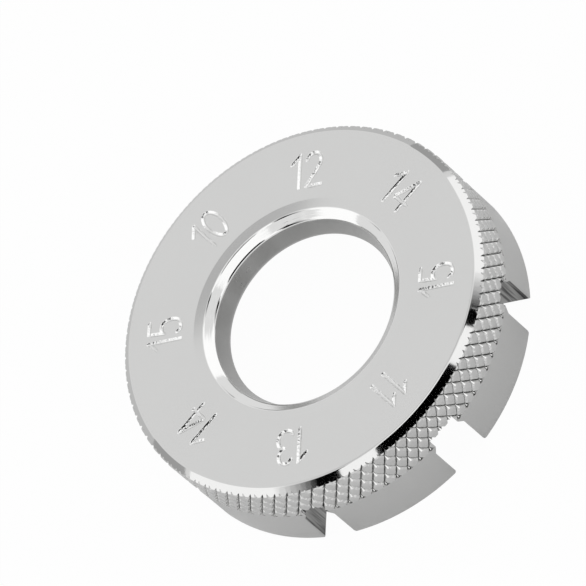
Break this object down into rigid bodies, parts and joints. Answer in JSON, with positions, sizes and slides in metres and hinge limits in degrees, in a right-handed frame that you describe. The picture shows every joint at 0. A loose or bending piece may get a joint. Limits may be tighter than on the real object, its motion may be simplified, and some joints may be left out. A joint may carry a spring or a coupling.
{
  "type": "spoke wrench",
  "caption": "Flat round plated-steel spoke wrench with a knurled rim, stepped slots between jaws round its back, gauge numbers and a centre hole.",
  "frame": {"origin": "on the axis of the centre hole, in the plane of the jaw ends", "axes": "+Z along the axis towards the numbered face, +Y towards the slot for gauge 12, the other slots clockwise from it seen from +Z"},
  "size_m": [0.05, 0.05, 0.013],
  "materials": {
    "plated_steel": "bright nickel plating over turned and milled steel",
    "knurled_steel": "bright nickel plating over a diamond knurl"
  },
  "bodies": {
    "root": {"face_disc": "plated_steel", "knurled_rim": "knurled_steel", "jaw_1": "plated_steel", "jaw_2": "plated_steel", "jaw_3": "plated_steel", "jaw_4": "plated_steel", "jaw_5": "plated_steel", "jaw_6": "plated_steel", "jaw_7": "plated_steel", "jaw_8": "plated_steel"}
  },
  "joints": []
}
